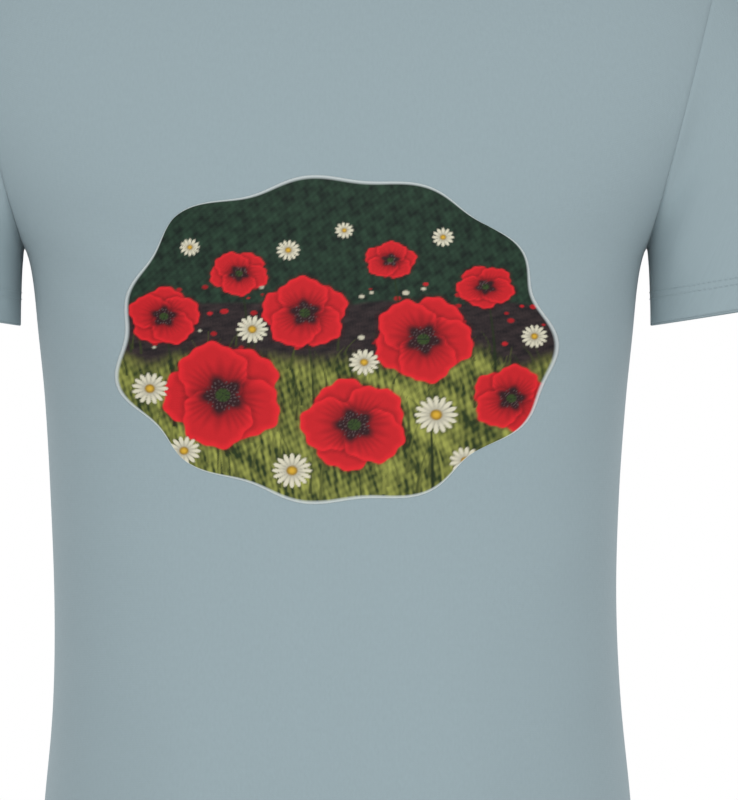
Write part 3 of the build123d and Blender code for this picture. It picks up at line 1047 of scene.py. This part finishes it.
def seam_pieces(side, name, material):
    """The overlocked allowances behind the armhole, side, shoulder and underarm seams."""
    inside = -cloth - ply_gap
    offsets = inside, inside - seam_bulk + overlock_ridge
    made = []

    def overlocked(kind, grid, outs, closed=False):
        node = f"{name}_{kind}_seam"
        made.append(strip_piece(node, grid, outs, offsets, material, closed, True))

    insets = np.linspace(0.5, seam_allowance, 5)
    fine = np.linspace(0, 2 * np.pi, 900)
    rings = np.stack([evenly(armhole_points(side, fine, inset), 760)[:-1] for inset in insets])
    overlocked("armhole", rings, outwards(rings)[1], True)
    ys = np.linspace(0.2, seam_allowance, 5)
    for kind, start, end in (
        ("side", underarm_drop + 12.0, body_length - hem_depth - 1),
        ("shoulder", 4.0, shoulder_drop - 6.0),
    ):
        drops = np.linspace(start, end, int((end - start) * (1 if kind == "side" else 2) / 0.65))
        depth = between(SILHOUETTE, drops)[:, 2]
        turn = np.arcsin((ys[:, None] / depth[None, :]) ** (squareness / 2))
        grid = body_points(turn if side > 0 else np.pi - turn, drops[None, :])
        overlocked(kind, grid, outwards(grid)[1])
    widest = math.asin((seam_allowance / sleeve_hem_depth) ** (squareness / 2))
    turn = np.linspace(0.003, widest, 5)
    top = sleeve_shares(side, turn, hem_depth + 1)
    share = 0.05 + (top[:, None] - 0.05) * np.linspace(0, 1, 60)[None, :]
    grid, outs = sleeve_form(side, turn[:, None], share)
    overlocked("underarm", grid, outs)
    return made


def tape_piece(material):
    """The tape behind the back neck's seam."""
    shares = np.linspace(-0.5 / collar_width, -tape_width / collar_width, 6)
    grid = np.stack([neck_line(0.0, np.pi, share, 160) for share in shares])
    offsets = -cloth - ply_gap, -cloth - ply_gap - tape_cloth
    return strip_piece("neck_tape", grid, outwards(grid)[1], offsets, material)


def body_seam(name, line, offset, material, facing=1):
    """Stitches along a line on the body form, outside or inside."""
    places = dashes(line)
    outs = [outwards(points)[1] for points in places]
    starts, ends = [dressed(points, out, offset) for points, out in zip(places, outs)]
    return stitches(name, starts, ends, outs[0] * facing, material)


def body_stitches(material):
    """Twin stitches round the bottom hem, and stitches below the collar and along the tape."""
    turn = np.linspace(0, 2 * np.pi, 1500)
    inside = -2 * cloth - ply_gap - stitch_clear
    behind_tape = -cloth - ply_gap - tape_cloth - stitch_clear
    rows = []
    for k, below in enumerate(stitch_rows, 1):
        line = body_points(turn, body_length - hem_depth + below)
        rows.append(body_seam(f"hem_stitch_{k}", line, stitch_clear, material))
        rows.append(body_seam(f"hem_inner_stitch_{k}", line, inside, material, -1))
    around = neck_points(np.linspace(0, 2 * np.pi, 3000), -2.0 / collar_width)
    rows.append(body_seam("collar_stitch", around, 0.0, material))
    for k, below in enumerate((1.6, tape_width - 1.4), 1):
        line = neck_points(np.linspace(0.02, np.pi - 0.02, 1500), -below / collar_width)
        rows.append(body_seam(f"tape_stitch_{k}", line, behind_tape, material, -1))
    return rows


def sleeve_stitches(side, name, material):
    """Twin stitches round a sleeve's hem, outside and inside."""
    turn = np.linspace(0, 2 * np.pi, 721)
    inside = -2 * cloth - ply_gap - stitch_clear
    rows = []
    for k, below in enumerate(stitch_rows, 1):
        for kind, offset, facing in (("", stitch_clear, 1), ("inner_", inside, -1)):
            line, outs = sleeve_line(side, turn, hem_depth - below, offset)
            starts, ends = dashes(line)
            ups = starts - line[:-1].mean(axis=0)
            ups[:, 2] = 0
            label = f"{name}_sleeve_{kind}stitch_{k}"
            rows.append(stitches(label, starts, ends, ups * facing, material))
    return rows


# Stage

def white_world():
    """White behind the shirt, and an even pale light on it."""
    world = bpy.data.worlds.new("studio")
    bpy.context.scene.world = world
    world.use_nodes = True
    tree = world.node_tree
    light = tree.nodes["Background"]
    light.inputs["Color"].default_value = (*world_colour, 1)
    light.inputs["Strength"].default_value = world_strength
    behind = tree.nodes.new("ShaderNodeBackground")
    behind.inputs["Color"].default_value = (1, 1, 1, 1)
    mix = tree.nodes.new("ShaderNodeMixShader")
    path = tree.nodes.new("ShaderNodeLightPath")
    tree.links.new(path.outputs["Is Camera Ray"], mix.inputs[0])
    tree.links.new(light.outputs[0], mix.inputs[1])
    tree.links.new(behind.outputs[0], mix.inputs[2])
    tree.links.new(mix.outputs[0], tree.nodes["World Output"].inputs["Surface"])


def softbox(name, place, size, watts):
    """A square area light that looks at the shirt's middle."""
    lamp = bpy.data.lights.new(name, "AREA")
    lamp.energy = watts
    lamp.size = size
    obj = placed(name, lamp)
    obj.location = place
    away = Vector(light_target) - Vector(place)
    obj.rotation_euler = away.to_track_quat("-Z", "Y").to_euler()


def floor():
    """A pale round floor."""
    angles = np.linspace(0, 2 * np.pi, 97)[:-1]
    mesh = bpy.data.meshes.new("floor")
    ring = [(floor_radius * math.cos(a), floor_radius * math.sin(a), floor_height) for a in angles]
    mesh.from_pydata(ring, [], [list(range(len(ring)))])
    mesh.materials.append(shader("floor", FLOOR, 0.9, 0.0)[0])
    placed("floor", mesh)


def camera():
    """A level camera looking at the front."""
    lens = bpy.data.cameras.new("camera")
    lens.lens = lens.sensor_width * camera_distance / height_in_view
    obj = placed("camera", lens)
    obj.location = (camera_x, -camera_distance, camera_z)
    obj.rotation_euler = (math.pi / 2, 0, 0)
    bpy.context.scene.camera = obj


jersey = cloth_material("jersey", JERSEY, 1.5, 1.1)
rib_knit = rib_material("rib_knit", JERSEY, rib_pitch)
tape = cloth_material("tape", TAPE, 1.0, 1.0, 0.05)
thread = shader("seam_thread", THREAD, 0.75, 0.1)[0]
ink = ink_material()

front = panel_piece(True, jersey)
back = panel_piece(False, jersey)
collar = collar_piece(rib_knit)
neck_band = tape_piece(tape)
hem = hem_piece(jersey)
film = print_piece(ink)
sewing = body_stitches(thread)
for side, name in ((1, "left"), (-1, "right")):
    sleeve = sleeve_piece(side, name, jersey)
    sleeve_hem = sleeve_hem_piece(side, name, jersey)
    allowances = seam_pieces(side, name, thread)
    rows = sleeve_stitches(side, name, thread)

white_world()
for name, place, size, watts in SOFTBOXES:
    softbox(name, place, size, watts)
floor()
camera()
bpy.context.scene.view_settings.view_transform = "Standard"
